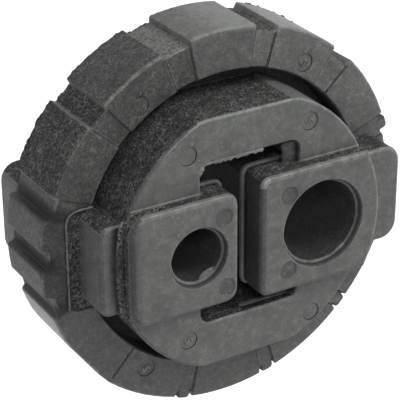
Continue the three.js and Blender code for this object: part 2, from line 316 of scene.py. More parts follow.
@dataclass(frozen=True)
class RubberFinish:
    """Black moulded rubber with spark-eroded patches and traces of white release powder.

    The noises are fine grit, a web of ridges, mottle and wide clouds, each in lumps per millimetre.
    """

    light: Colour = (0.142, 0.147, 0.141, 1.0)
    dark: Colour = (0.006, 0.0068, 0.006, 1.0)
    powder: Colour = (0.42, 0.43, 0.39, 1.0)
    fine_per_mm: float = 2.6
    web_per_mm: float = 1.75
    mottle_per_mm: float = 0.8
    clouds_per_mm: float = 0.2
    web_width: float = 0.13
    smooth_roughness: float = 0.5
    grain_roughness: float = 0.8
    bump_mm: float = 0.22
    specular: float = 0.16
    coat_roughness: float = 0.34

    def material(self) -> bpy.types.Material:
        """Builds the rubber material.

        Returns:
            The material, which reads the attributes grain, tone, dust, gloss and edge of the faces and
            shade of the vertices, which is painted shade and, below 0, painted highlight.
        """
        kit = ShaderKit(bpy.data.materials.new("moulded_rubber"))
        place = kit.millimetres()
        grain = kit.attribute("grain")
        tone = kit.attribute("tone")
        dust = kit.attribute("dust")
        gloss = kit.attribute("gloss")
        edge = kit.attribute("edge")
        # Painted shade and painted highlight from the vertices scale the colour
        painted_light_factor = 1.0 - kit.attribute("shade")
        fine = kit.noise(place, self.fine_per_mm, 2.0, 0.6)
        clouds = kit.noise(place, self.clouds_per_mm, 4.0, 0.62)
        mottle = kit.noise(place, self.mottle_per_mm, 4.0, 0.65)
        ridges = kit.noise(place, self.web_per_mm, 2.0, 0.6).away_from(0.5)
        web = 1.0 - ridges.ramp(0.0, self.web_width)
        rough = (grain * (0.05 + 1.9 * clouds)).clamped()

        # The rough skin is dark between its light ridges
        bright = (web * 0.55 + fine.ramp(0.42, 0.68) * 0.75).clamped()
        cloudy = 1.0 + (0.25 + grain) * 2.4 * (clouds - 0.5)
        base = tone * painted_light_factor * (0.68 + 0.64 * mottle) * cloudy
        skin_tone = base * (1.0 - 0.95 * rough * (1.0 - bright)) + 0.7 * rough * base * bright * bright
        # Rims painted lighter: part wear, part painted highlight
        rim_wear_and_highlight = edge * painted_light_factor * (0.3 + 0.7 * mottle.ramp(0.38, 0.6))
        lightness = skin_tone * (1.0 + 0.25 * (fine - 0.5)) + 0.42 * rim_wear_and_highlight
        colour = kit.mix(lightness.clamped(), self.dark, self.light)

        # Release powder lies as single specks and as a thin film
        specks = kit.specks(place, 1.0, 0.17, 0.22) + kit.specks(place, 2.3, 0.3, 0.2) * rough
        film = mottle.ramp(0.46, 0.7) * (0.4 + 0.6 * fine.ramp(0.45, 0.7)) * 0.12
        powder = (dust * painted_light_factor * (specks * 0.5 + film)).clamped()
        colour = kit.mix(powder, colour, self.powder)

        softness = self.smooth_roughness + (self.grain_roughness - self.smooth_roughness) * rough
        shine = gloss * (1.0 - 0.7 * rough) * (0.55 + 0.9 * mottle)
        height = (web * 0.6 + fine) * (0.02 + 0.7 * rough) + 0.18 * mottle + 0.35 * specks * dust
        relief = {"Strength": 1.0, "Distance": self.bump_mm * MM, "Height": height}
        skin = kit.node(
            "ShaderNodeBsdfPrincipled",
            {},
            {
                "Base Color": colour,
                "Roughness": (softness + 0.12 * powder).clamped(),
                "Normal": kit.node("ShaderNodeBump", {}, relief),
                "Specular IOR Level": self.specular,
                "Coat Weight": (shine + 0.08 * edge).clamped(),
                "Coat Roughness": self.coat_roughness,
            },
        )
        kit.node("ShaderNodeOutputMaterial", {}, {"Surface": skin})
        return kit.owner


@dataclass(frozen=True)
class PaperFinish:
    """Plain white sweep under and behind the part."""

    colour: Colour = (0.86, 0.86, 0.86, 1.0)
    white: Colour = (1.0, 1.0, 1.0, 1.0)
    lift: float = 0.34

    def material(self) -> bpy.types.Material:
        """Builds the floor's material.

        Returns:
            The material, which is white to the camera and keeps the part's shadow.
        """
        kit = ShaderKit(bpy.data.materials.new("white_sweep"))
        paper = kit.node("ShaderNodeBsdfDiffuse", {}, {"Color": self.colour})
        level = kit.looked_at() * self.lift
        glow = kit.node("ShaderNodeEmission", {}, {"Color": self.white, "Strength": level})
        both = kit.node("ShaderNodeAddShader", {}, {0: paper, 1: glow})
        kit.node("ShaderNodeOutputMaterial", {}, {"Surface": both})
        return kit.owner


def rubber_piece(name: str, shape: bmesh.types.BMesh, material: bpy.types.Material) -> bpy.types.Object:
    """Turns a mesh into a smooth piece that rides with the rubber.

    Args:
        name: The piece's name.
        shape: Its mesh in metres, which is freed.
        material: The rubber material.

    Returns:
        The piece.
    """
    mesh = bpy.data.meshes.new(name)
    shape.to_mesh(mesh)
    shape.free()
    mesh.polygons.foreach_set("use_smooth", [True] * len(mesh.polygons))
    mesh.materials.append(material)
    piece = bpy.data.objects.new(name, mesh)
    bpy.context.scene.collection.objects.link(piece)
    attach(piece, "root")
    log.info("%s: %d faces", name, len(mesh.polygons))
    return piece


@dataclass
class Trim:
    """A small raised piece of rubber that rides with the moulding."""

    name: str
    zone: Zone
    # How light the trim's edge is painted: part wear, part painted highlight
    edge: float = 0.0

    def shape(self) -> bmesh.types.BMesh:
        """The piece's mesh in metres; each kind of trim makes its own."""
        raise NotImplementedError

    def build(self, material: bpy.types.Material) -> bpy.types.Object:
        """Dresses the mesh as one zone of the moulding.

        Args:
            material: The rubber material.

        Returns:
            The finished object.
        """
        shape = self.shape()
        bmesh.ops.recalc_face_normals(shape, faces=shape.faces)
        paint = Paint(shape)
        for face in shape.faces:
            paint.put(face, self.zone, self.edge)
        return rubber_piece(self.name, shape, material)


@dataclass
class Bead(Trim):
    """A raised line along a path in one depth. Lengths in millimetres.

    The path is a list of (x, z) corners; each inner corner is rounded. Ragged beads vary in height.
    """

    corner_pieces: ClassVar[int] = 5
    lumps_per_mm: ClassVar[float] = 1.7
    end_share: ClassVar[float] = 0.35
    noise_shift: ClassVar[float] = 3.1

    path: tuple[tuple[float, float], ...] = ()
    depth: float = 0.0
    half_depth: float = 0.3
    half_height: float = 0.3
    corner: float = 1.6
    ragged: float = 0.0
    step: float = 0.35

    def points(self) -> list[Vector]:
        """Walks along the rounded path.

        Returns:
            Evenly spaced places, as (x, 0, z) in millimetres.
        """
        corners = [Vector((x, 0.0, z)) for x, z in self.path]
        shares = [k / self.corner_pieces for k in range(self.corner_pieces + 1)]
        line = [corners[0]]
        for before, here, after in zip(corners, corners[1:], corners[2:]):
            start = here + (before - here).normalized() * self.corner
            end = here + (after - here).normalized() * self.corner
            line += [start.lerp(here, t).lerp(here.lerp(end, t), t) for t in shares]
        line.append(corners[-1])
        places = []
        for start, end in zip(line, line[1:]):
            pieces = max(1, round((end - start).length / self.step))
            places += [start.lerp(end, k / pieces) for k in range(pieces)]
        return [*places, line[-1]]

    def shape(self) -> bmesh.types.BMesh:
        """Extrudes an oval ring of vertices from place to place and closes both ends.

        Returns:
            The mesh in metres.
        """
        places = self.points()
        shape = bmesh.new()
        made = bmesh.ops.create_circle(shape, cap_ends=True, radius=1.0, segments=8)
        ring = made["verts"]
        turns = [math.tau * k / len(ring) for k in range(len(ring))]
        for index, place in enumerate(places):
            ahead = places[min(index + 1, len(places) - 1)] - places[max(index - 1, 0)]
            across = Vector((-ahead.z, 0.0, ahead.x)).normalized()
            if index:
                grown = bmesh.ops.extrude_edge_only(shape, edges=self.loop_of(ring))
                ring = self.matching(ring, grown["geom"])
            shift = Vector((self.depth, self.noise_shift, 0.0))
            swell = 1.0 + self.ragged * noise.noise(place * self.lumps_per_mm + shift)
            taper = self.end_share if index in (0, len(places) - 1) else 1.0
            for vertex, turn in zip(ring, turns):
                lift = self.half_height * swell * taper * math.cos(turn)
                vertex.co = (place + across * lift) * MM
                vertex.co.y = (self.depth + self.half_depth * taper * math.sin(turn)) * MM
        bmesh.ops.contextual_create(shape, geom=ring)
        return shape

    @staticmethod
    def loop_of(ring: list[bmesh.types.BMVert]) -> list[bmesh.types.BMEdge]:
        """The edges between neighbouring vertices of a ring, in order."""
        pairs = zip(ring, [*ring[1:], ring[0]])
        return [next(e for e in a.link_edges if e.other_vert(a) is b) for a, b in pairs]

    @staticmethod
    def matching(ring: list[bmesh.types.BMVert], geometry: list[object]) -> list[bmesh.types.BMVert]:
        """The extruded copies of a ring's vertices, in the same order."""
        fresh = {v for v in geometry if isinstance(v, bmesh.types.BMVert)}
        return [next(e.other_vert(v) for e in v.link_edges if e.other_vert(v) in fresh) for v in ring]


@dataclass
class RingFlash(Trim):
    """A ragged fin of flash on the ring's outside, spun about its axis.

    Lengths in millimetres, angles in degrees. The root is how deep the fin stands in the ring.
    """

    root: ClassVar[float] = 0.5
    step: ClassVar[float] = 0.28

    start: float = 0.0
    stop: float = 0.0
    depth: float = 6.0
    radius: float = 32.3
    height: float = 0.3
    thick: float = 0.3

    def shape(self) -> bmesh.types.BMesh:
        """Spins a thin triangle and lets its tip come and go.

        Returns:
            The mesh in metres.
        """
        shape = bmesh.new()
        first = Matrix.Rotation(-math.radians(self.start), 3, "Y")
        section = ((-self.root, -self.thick), (self.height, 0.0), (-self.root, self.thick))
        corners = [shape.verts.new(Vector((self.radius + r, self.depth + y, 0.0)) * MM) for r, y in section]
        edges = [shape.edges.new(pair) for pair in zip(corners, [*corners[1:], corners[0]])]
        bmesh.ops.rotate(shape, verts=corners, cent=(0.0, 0.0, 0.0), matrix=first)
        span = math.radians(self.stop - self.start)
        bmesh.ops.spin(
            shape,
            geom=[*corners, *edges],
            cent=(0.0, 0.0, 0.0),
            axis=(0.0, 1.0, 0.0),
            dvec=(0.0, 0.0, 0.0),
            angle=-span,
            steps=round(span * self.radius / self.step),
            use_merge=False,
        )
        for vertex in shape.verts:
            away = Vector((vertex.co.x, 0.0, vertex.co.z))
            if away.length > self.radius * MM:
                lost = 1.0 - self.share_left(vertex.co / MM)
                vertex.co -= away.normalized() * self.height * lost * MM
        bmesh.ops.holes_fill(shape, edges=[e for e in shape.edges if e.is_boundary], sides=len(section))
        return shape

    @staticmethod
    def share_left(place: Vector) -> float:
        """How much of the fin's height is left at a place, from 0 to 1."""
        lumps = 0.35 + 1.2 * noise.noise(place * 0.9) + 0.7 * noise.noise(place * 2.6)
        return min(1.0, max(0.0, lumps))


@dataclass
class Flap(Trim):
    """A lens-shaped flap of flash in a bore. Lengths in millimetres, angle in degrees."""

    bore: tuple[float, float] = (0.0, 0.0)
    reach: float = 4.0
    angle: float = 0.0
    depth: float = 0.0
    size: tuple[float, float, float] = (1.2, 0.3, 0.6)

    def shape(self) -> bmesh.types.BMesh:
        """Flattens a ball and moves it onto the bore's lip.

        Returns:
            The mesh in metres.
        """
        shape = bmesh.new()
        turn = math.radians(self.angle)
        across, up = self.reach * math.cos(turn), self.reach * math.sin(turn)
        place = Vector((self.bore[0] + across, self.depth, self.bore[1] + up))
        stretch = Matrix.Diagonal(Vector((*self.size, 1.0)))
        lean = Matrix.Rotation(-turn - math.pi / 2.0, 4, "Y")
        whole = Matrix.Scale(MM, 4) @ Matrix.Translation(place) @ lean @ stretch
        bmesh.ops.create_icosphere(shape, subdivisions=3, radius=1.0, matrix=whole)
        return shape


def mark_scar(index: int, x: float, depth: float, z: float) -> Bead:
    """A short raised zigzag in an ejector mark.

    Args:
        index: The scar's number.
        x: Place of the mark across, in millimetres.
        depth: Place of its floor along the width.
        z: Its height.

    Returns:
        The bead.
    """
    zigzag = ((-0.75, 0.35), (-0.35, -0.6), (0.25, 0.55), (0.75, -0.3))
    return Bead(
        f"mark_scar_{index}",
        Zone.SATIN,
        0.7,
        path=tuple((x + across, z + up) for across, up in zigzag),
        depth=depth,
        half_depth=0.16,
        half_height=0.17,
        corner=0.3,
        ragged=1.2,
        step=0.18,
    )


@dataclass(frozen=True)
class Fade:
    """Painted shade that is darkest at one x and runs out towards another. Lengths in millimetres."""

    share: float
    start: float
    stop: float

    def at(self, x: float) -> float:
        """The share of the colour that is taken away at x."""
        return self.share * (1.0 - soft(self.start, self.stop, x))


@dataclass(frozen=True)
class SolidSizes:
    """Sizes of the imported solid, which tell its surfaces apart.

    Lengths are in millimetres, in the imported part's frame, with the front at low y. Angles are in degrees
    round the ring's axis, from the right, upwards. The moat is given by how far it reaches to the left and
    its half height, a bore by its place and the radius of its mouth, and a mark by its place.
    """

    ring_half_width: float = 6.425
    ring_inner: float = 25.25
    gap_radius: float = 31.4
    pad_step: float = 0.3
    core_radius: float = 23.3
    core_half_depth: float = 13.225
    core_flat: float = 21.6
    block_half: float = 9.5
    block_front: float = -15.0
    left_block_out: float = 22.4
    left_block_edge: float = -15.0
    slot: Span = (-3.3, 0.6)
    slot_wall_reach: float = 9.4
    membrane_half: float = 1.0
    moat: tuple[float, float] = (28.4, 9.0)
    moat_rim: float = 0.6
    bores: tuple[tuple[float, float], ...] = ((-10.4, 5.2), (12.3, 7.7))
    mark_radius: float = 1.5
    ring_marks: tuple[float, ...] = (59.0, 123.5, 236.7)
    ring_mark_radius: float = 27.7
    front_marks: tuple[tuple[float, float], ...] = (
        (-11.0, 16.4),
        (10.9, 17.1),
        (-11.2, -15.7),
        (12.1, -17.5),
    )
    block_marks: tuple[tuple[float, float], ...] = ((-6.1, 5.8), (-5.5, -6.5), (5.7, 6.6), (5.7, -6.6))
    lugs: tuple[float, ...] = (17.3, 255.4, 285.2, 315.8)
    lug_half_angle: float = 2.4
    grooves: tuple[float, ...] = (165.2, 180.1, 195.2)

    def near_mark(self, x: float, z: float) -> bool:
        """Whether a place lies on the wall of an ejector mark.

        Args:
            x: The place across, in millimetres.
            z: Its height.

        Returns:
            True on the wall.
        """
        turns = [math.radians(angle) for angle in self.ring_marks]
        ring = [(self.ring_mark_radius * math.cos(a), self.ring_mark_radius * math.sin(a)) for a in turns]
        marks = (*ring, *self.front_marks, *self.block_marks)
        return any(abs(math.hypot(x - mx, z - mz) - self.mark_radius) < 0.2 for mx, mz in marks)


@dataclass(frozen=True)
class ZoneMap:
    """Tells the kinds of surface apart and says how light their rims are painted, part wear and part painted
    highlight.

    The spans are stretches of the ring in degrees. A lean is how far a normal leans along the depth. The
    glint is a place, in millimetres.
    """

    solid: SolidSizes
    ribs: Span = (159.0, 196.8)
    cheek: Span = (196.8, 227.4)
    shining_pad: Span = (50.0, 74.0)
    light_gap: Span = (100.0, 112.0)
    worn_pad: Span = (109.5, 131.5)
    rough_pad: Span = (137.5, 160.0)
    bright_rim: Span = (109.5, 131.8)
    dull_front: Span = (101.0, 160.0)
    satin_front_end: float = 80.0

    # How far a surface's normal leans along the depth: walls, slanted rims, and the glint on one corner
    wall_lean: float = 0.9
    rim_lean: Span = (0.3, 0.93)
    glint_lean: Span = (0.3, 0.99)
    glint: tuple[float, float, float] = (1.5, -15.5, 9.6)
    glint_reach: float = 1.2
    # How light rims are painted: part wear, part painted highlight
    rib_rim: float = 2.0
    rim_highlight_full: float = 1.3

    def zone_of(self, centre: Vector, normal: Vector) -> Zone:
        """Which kind of surface a face belongs to.

        Args:
            centre: The face's middle in millimetres.
            normal: Its unit normal.

        Returns:
            The zone.
        """
        solid = self.solid
        x, y, z = centre
        radius = math.hypot(x, z)
        lean = abs(normal.y)
        wall = lean < self.wall_lean
        if y < 0.0 and wall and solid.near_mark(x, z):
            return Zone.SPOT if y < solid.block_front else Zone.MARK
        spots = (math.hypot(x - mx, z - mz) < solid.mark_radius for mx, mz in solid.block_marks)
        if y < solid.block_front and any(spots):
            return Zone.SPOT
        # Painted shade: the walls of the bores are dark
        if wall and any(math.hypot(x - bore_x, z) < reach for bore_x, reach in solid.bores):
            return Zone.DEEP
        if radius > solid.ring_inner - 0.4 and abs(y) < solid.ring_half_width + 0.02:
            return self.ring_zone(centre, normal)
        # Painted highlight: one corner of the right block takes a lighter tone and a full coat
        if within(self.glint_lean, lean) and (centre - Vector(self.glint)).length < self.glint_reach:
            return Zone.GLOSS
        # Painted shade: slanted rims that face down or left take the darker TURN
        if within(self.rim_lean, lean) and abs(y) > solid.ring_half_width:
            return Zone.TURN if normal.x < -0.25 or normal.z < -0.3 else Zone.RIM
        # Painted shade: the web deep between core and ring is dark
        if lean > 0.8:
            return Zone.DEEP if abs(y) < 2.0 * solid.membrane_half else Zone.SMOOTH
        return self.wall_zone(centre, normal)

    def wall_zone(self, centre: Vector, normal: Vector) -> Zone:
        """The zone of a side of the core, a block or an arm.

        Args:
            centre: The face's middle in millimetres.
            normal: Its unit normal.

        Returns:
            The zone.
        """
        solid = self.solid
        x, y, z = centre
        on_round = math.hypot(x, z) > solid.core_radius - 0.7 or abs(z) > solid.core_flat - 0.4
        if abs(z) > solid.block_half + 2.0 and on_round:
            # Smooth skin on the upper right of the core's round, whose lighter tone is partly a painted
            # highlight
            bright = x > 6.5 and z > 0.0 and y < -solid.ring_half_width
            return Zone.WALL if bright else Zone.ROUGH
        if normal.z > 0.5:
            return Zone.ROUGH
        # Painted shade: the walls of the slot and those near the middle are dark
        in_slot = solid.slot[0] - 0.1 < x < solid.slot[1] + 1.7 and abs(normal.x) > 0.3
        if in_slot or (abs(x) < solid.slot_wall_reach and abs(y) < solid.core_half_depth):
            return Zone.DEEP
        block_side = -solid.left_block_out - 1.5 < x < -solid.left_block_out + 3.0
        return Zone.ROUGH if block_side and normal.x < -0.4 else Zone.WALL

    def ring_zone(self, centre: Vector, normal: Vector) -> Zone:
        """The zone of a face of the outer ring.

        Args:
            centre: The face's middle in millimetres.
            normal: Its unit normal.

        Returns:
            The zone.
        """
        solid = self.solid
        x, _, z = centre
        radius = math.hypot(x, z)
        angle = turn_of(x, z)
        outward = (normal.x * x + normal.z * z) / radius
        on_lug = any(abs(angle - lug) < solid.lug_half_angle for lug in solid.lugs)
        if on_lug and radius > solid.gap_radius:
            return Zone.DEEP
        if outward > 0.5:
            return self.outside_zone(radius, angle)
        # Painted shade: the ring's inner face, deep in the gap, takes the darker TURN
        if outward < -0.5:
            return Zone.TURN
        # Painted shade: the walls of the small steps are dark
        if radius < solid.gap_radius - 0.2 and abs(normal.y) < self.rim_lean[1]:
            return Zone.CREASE
        if normal.y >= -0.5:
            return Zone.WALL
        # In front of the ribs the sunk moat is rough skin; the slanted strips beside it take the darker TURN
        # as painted shade
        if x < 0.0 and abs(z) < solid.moat[1] + solid.moat_rim:
            sunk = x > -solid.moat[0] and centre.y > -solid.ring_half_width + 0.2
            return Zone.ROUGH if sunk else Zone.TURN if normal.y > -self.rim_lean[1] else Zone.DULL
        if within(self.dull_front, angle):
            return Zone.DULL
        return Zone.SATIN if angle < self.satin_front_end else Zone.SHADE

    def outside_zone(self, radius: float, angle: float) -> Zone:
        """The zone of a place on the ring's outside.

        Args:
            radius: Its distance from the ring's axis in millimetres.
            angle: Its angle in degrees.

        Returns:
            The zone.
        """
        on_pad = radius > self.solid.gap_radius + self.solid.pad_step
        if within(self.ribs, angle):
            return Zone.RIBBED
        if within(self.cheek, angle) or (on_pad and within(self.shining_pad, angle)):
            return Zone.SHEEN
        if not on_pad:
            return Zone.FLOOR if within(self.light_gap, angle) else Zone.ROUGH
        if within(self.rough_pad, angle):
            return Zone.ROUGH
        return Zone.WORN if within(self.worn_pad, angle) else Zone.SATIN

    def rim_wear_and_highlight(self, centre: Vector, normal: Vector, zone: Zone, rounded: float) -> float:
        """How light a rim is painted: part wear, and part painted highlight on rims that face the light.

        Args:
            centre: The face's middle in millimetres.
            normal: Its unit normal.
            zone: The face's zone.
            rounded: 1 on the small rounds, else 0.

        Returns:
            From 0 to about 1.3.
        """
        angle = turn_of(centre.x, centre.z)
        on_ribs = within(self.ribs, angle) and math.hypot(centre.x, centre.z) > self.solid.ring_inner + 2.0
        behind_front = centre.y + self.solid.ring_half_width
        # Light line down the ribs' front ends: part wear, part painted highlight
        if on_ribs and rounded > 0.5 and -0.02 < behind_front < self.rib_rim:
            return self.rim_highlight_full
        slant = 0.2 < abs(normal.y) < 0.95
        if zone in (Zone.DEEP, Zone.MARK, Zone.TURN, Zone.SPOT, Zone.CREASE):
            return 0.15 if slant and zone is Zone.DEEP else 0.0
        # Painted highlight on the slanted front rims of the upper left pad
        if slant and within(self.bright_rim, angle) and centre.length > self.solid.ring_inner:
            return self.rim_highlight_full
        # Painted highlight: rims that face up or right are lighter
        lit = min(1.0, max(0.25, 0.5 + 0.5 * normal.z + 0.3 * normal.x))
        return max(rounded * lit, 0.4 * lit if slant else 0.0)

    def paint(self, shape: bmesh.types.BMesh) -> None:
        """Gives each face its zone, and paints the slanted and rounded rims lighter, part wear and part
        painted highlight.

        Args:
            shape: The mesh to mark.
        """
        paint = Paint(shape)
        for face in shape.faces:
            middle = face.calc_center_median() / MM
            zone = self.zone_of(middle, face.normal)
            paint.put(face, zone, self.rim_wear_and_highlight(middle, face.normal, zone, paint.edge_of(face)))


@dataclass(frozen=True)
class PaintedShade:
    """Paints shade on the skin beside steps and in grooves, and paints a highlight on the top pad's bright
    end.

    Lengths in millimetres, angles in degrees.
    """

    solid: SolidSizes
    top_pad: Span = (78.0, 103.0)
    top_pad_highlight: float = 0.95
    top_pad_fade: Span = (99.0, 83.0)
    groove_half_angle: float = 2.5
    groove_shift: float = 0.6
    groove_floor: Span = (28.4, 29.6)
    rib_end: Span = (0.4, 1.6)
    rib_end_shade: float = 0.42
    shaded_front: float = -12.0
    shaded_left: float = -18.5
    left_wall_reach: float = 26.0
    slot_fade_reach: float = 3.0
    left_block_wall: Fade = Fade(0.75, -22.8, -24.7)
    left_block_face: Fade = Fade(0.5, -22.4, -19.8)
    right_block_face: Fade = Fade(0.25, 0.6, 1.6)

    def shade_of(self, place: Vector) -> float:
        """How much painted shade darkens a place beside a step.

        Args:
            place: The place in millimetres.

        Returns:
            The share of the colour that is taken away, below 0 where a highlight is painted on the top pad.
        """
        solid = self.solid
        x, y, z = place
        radius = math.hypot(x, z)
        angle = turn_of(x, z)
        # Painted highlight: the top pad is lighter towards its right end
        if radius > solid.gap_radius + solid.pad_step and within(self.top_pad, angle):
            return -self.top_pad_highlight * soft(*self.top_pad_fade, angle)
        # Painted shade in the grooves between the ribs and before their front ends
        if radius > solid.ring_inner + 2.0 and abs(y) < solid.ring_half_width + 0.1:
            return self.ring_shade(place, radius, angle)
        # Painted shade on the left block's side and face, and beside the slot on the right block's face
        beside_block = -self.left_wall_reach < x < -solid.left_block_out and abs(z) < solid.block_half
        if y < self.shaded_front and beside_block:
            return self.left_block_wall.at(x)
        if y < solid.block_front and x < solid.left_block_edge:
            return self.left_block_face.at(x)
        if y < solid.block_front and solid.slot[1] - 0.1 < x < solid.slot[1] + self.slot_fade_reach:
            return self.right_block_face.at(x)
        return 0.0

    def ring_shade(self, place: Vector, radius: float, angle: float) -> float:
        """Paints shade in the grooves between the ribs and on the wall in front of them.

        Args:
            place: The place in millimetres.
            radius: Its distance from the ring's axis.
            angle: Its angle.

        Returns:
            The share of the colour that is taken away.
        """
        solid = self.solid
        away = min(abs(angle - middle + self.groove_shift) for middle in solid.grooves)
        groove = math.exp(-((away / self.groove_half_angle) ** 4))
        low, high = self.groove_floor
        depth = min(1.0, max(0.0, (radius - low) / (high - low)))
        before_ribs = place.x < -solid.moat[0] and abs(place.z) < solid.moat[1]
        end = 1.0 - soft(*self.rib_end, place.y + solid.ring_half_width)
        return max(self.rib_end_shade * end if before_ribs else 0.0, groove * depth)

    def near_fade(self, place: Vector) -> bool:
        """Whether a place in millimetres lies near a soft shade on the front of a block."""
        slot_side = self.solid.slot[1]
        beside_slot = slot_side - 0.1 < place.x < slot_side + self.slot_fade_reach + 0.5
        return place.y < self.shaded_front and (place.x < self.shaded_left or beside_slot)

    def paint(self, shape: bmesh.types.BMesh) -> None:
        """Writes the painted shade of every vertex.

        Args:
            shape: The mesh to mark.
        """
        layer = shape.verts.layers.float.new("shade")
        for vertex in shape.verts:
            vertex[layer] = self.shade_of(vertex.co / MM)


@dataclass
class HangerRubber:
    """The moulded rubber itself. Lengths in millimetres, angles in degrees.

    A lump of the grain is given by its weight and how many there are in a millimetre.
    """

    merge_gap: float = 0.003
    shortest_edge: float = 0.02
    flat_angle: float = 1.2
    edge_angle: float = 35.0
    edge_round: float = 0.17
    mark_round: float = 0.05
    corner_round: float = 1.1
    corner_reach: float = 0.75
    grain_depth: float = 0.1
    least_grain: float = 0.12
    lumps: tuple[Span, ...] = ((0.65, 0.8), (0.35, 2.1))
    coarse_edge: float = 2.4
    fine_edge: float = 0.75
    fine_grain: float = 0.4
    seen_depth: float = -3.0
    shade_edge: float = 0.8
    splits: int = 6
    solid: SolidSizes = SolidSizes()
    zones: ZoneMap = field(init=False)
    painted_shade: PaintedShade = field(init=False)
    finish: RubberFinish = field(default_factory=RubberFinish)
    trims: tuple[Trim, ...] = (
        # Raised lines round the two blocks and along their seams with the core
        Bead(
            "right_block_lip",
            Zone.RIM,
            path=((8.0, -10.35), (0.72, -10.35), (0.72, 10.35), (8.9, 10.35)),
            depth=-9.8,
            half_depth=0.5,
            half_height=0.4,
        ),
        Bead(
            "left_block_lip",
            Zone.RIM,
            path=((-8.7, 9.3), (-3.45, 9.3), (-3.45, -8.0)),
            depth=-9.9,
            half_depth=0.45,
            half_height=0.4,
        ),
        Bead(
            "left_block_seam",
            Zone.RIM,
            0.4,
            path=((-21.2, 9.62), (-8.9, 9.62)),
            depth=-13.1,
            half_depth=0.3,
            half_height=0.22,
        ),
        Bead(
            "right_block_seam",
            Zone.RIM,
            0.45,
            path=((9.2, 10.62), (20.4, 10.62)),
            depth=-13.1,
            half_depth=0.3,
            half_height=0.2,
            ragged=0.5,
        ),
        # Rough fillet beside the left block, and the line round the moat
        Bead(
            "block_root",
            Zone.ROUGH,
            path=((-22.2, -8.6), (-22.95, -4.0), (-23.1, 0.0), (-22.95, 4.0), (-22.2, 8.6)),
            depth=-13.2,
            half_depth=0.32,
            half_height=0.75,
            corner=0.8,
        ),
        Bead(
            "moat_line",
            Zone.SATIN,
            0.35,
            path=((-28.45, -8.4), (-28.45, 8.45), (-23.7, 8.45)),
            depth=-6.4,
            half_depth=0.2,
            half_height=0.16,
            corner=2.4,
            ragged=0.8,
        ),
        # Flash, ledge, tag and fill in the window
        Bead(
            "window_flash",
            Zone.RIM,
            0.8,
            path=((-8.75, 12.4), (-8.75, 14.3), (2.6, 14.3)),
            depth=-13.0,
            half_depth=0.16,
            half_height=0.34,
            corner=1.3,
            ragged=1.3,
        ),
        Bead(
            "window_ledge",
            Zone.SATIN,
            0.5,
            path=((-0.8, -13.35), (8.6, -13.35)),
            depth=-11.3,
            half_depth=0.55,
            half_height=0.3,
            ragged=0.7,
        ),
        Flap(
            "window_tag",
            Zone.RIM,
            2.2,
            bore=(-8.55, 13.7),
            reach=0.0,
            angle=40.0,
            depth=-13.15,
            size=(0.5, 0.12, 0.35),
        ),
        Bead(
            "window_fill",
            Zone.DULL,
            path=((8.0, 9.8), (7.9, 14.15)),
            depth=-11.9,
            half_depth=0.5,
            half_height=1.5,
            ragged=0.25,
        ),
        # Flash on the ring's pads and gaps, each at its own radius
        *(
            RingFlash(f"flash_{start:.0f}", Zone.WORN, 0.1, start=start, stop=stop, radius=radius)
            for start, stop, radius in (
                (98.3, 101.5, 32.3),
                (102.3, 109.7, 31.3),
                (110.4, 130.9, 32.3),
                (131.7, 137.6, 31.3),
                (138.4, 159.3, 32.3),
                (21.0, 42.9, 32.3),
                (51.2, 72.9, 32.3),
            )
        ),
        # Rough scars in four ejector marks
        mark_scar(0, 14.3, -6.3, 23.7),
        mark_scar(1, 10.9, -13.1, 17.1),
        mark_scar(2, -11.2, -13.1, -15.7),
        mark_scar(3, -15.2, -6.3, -23.2),
        # Flap of flash in the small bore's mouth
        Flap(
            "small_bore_flap",
            Zone.SATIN,
            0.15,
            bore=(-10.4, 0.0),
            reach=4.6,
            angle=-64.0,
            depth=-14.2,
            size=(1.8, 0.28, 0.95),
        ),
    )

    def __post_init__(self) -> None:
        """Gives the zones and the painted shade the sizes of the solid."""
        self.zones = ZoneMap(self.solid)
        self.painted_shade = PaintedShade(self.solid)

    def copy_of_solid(self) -> bmesh.types.BMesh:
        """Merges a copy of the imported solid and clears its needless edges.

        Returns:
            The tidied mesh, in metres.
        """
        shape = bmesh.new()
        shape.from_mesh(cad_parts["hanger_rubber"].data)
        bmesh.ops.remove_doubles(shape, verts=shape.verts, dist=self.merge_gap * MM)
        bmesh.ops.dissolve_degenerate(shape, edges=shape.edges, dist=self.shortest_edge * MM)
        bmesh.ops.dissolve_limit(
            shape,
            angle_limit=math.radians(self.flat_angle),
            verts=shape.verts,
            edges=shape.edges,
            use_dissolve_boundaries=False,
            delimit=set(),
        )
        return shape

    def round_edges(self, shape: bmesh.types.BMesh) -> None:
        """Rounds every sharp edge and marks the new strips in the face layer edge.

        Args:
            shape: The mesh to change.
        """
        mark = shape.faces.layers.float.new("edge")
        self.bevel(shape, [e for e in shape.edges if self.on_corner(e)], self.corner_round, 4)
        marks = [e for e in self.sharp_edges(shape) if self.on_mark(e)]
        self.bevel(shape, marks, self.mark_round, 1)
        plain = [e for e in self.sharp_edges(shape) if not self.on_mark(e)]
        for face in self.bevel(shape, plain, self.edge_round, 2):
            face[mark] = 1.0

    def sharp_edges(self, shape: bmesh.types.BMesh) -> list[bmesh.types.BMEdge]:
        """The edges between two faces that meet at a clear angle."""
        limit = math.radians(self.edge_angle)
        return [e for e in shape.edges if len(e.link_faces) == 2 and e.calc_face_angle() > limit]

    @staticmethod
    def bevel(
        shape: bmesh.types.BMesh, edges: list[bmesh.types.BMEdge], width: float, segments: int
    ) -> list[bmesh.types.BMFace]:
        """Rounds some edges.

        Args:
            shape: The mesh to change.
            edges: The edges.
            width: Width of the round on each side in millimetres.
            segments: Number of strips.

        Returns:
            The new faces.
        """
        rounded = bmesh.ops.bevel(
            shape,
            geom=edges,
            offset=width * MM,
            offset_type="OFFSET",
            segments=segments,
            profile=0.5,
            affect="EDGES",
            clamp_overlap=False,
            material=-1,
            loop_slide=True,
        )
        return rounded["faces"]

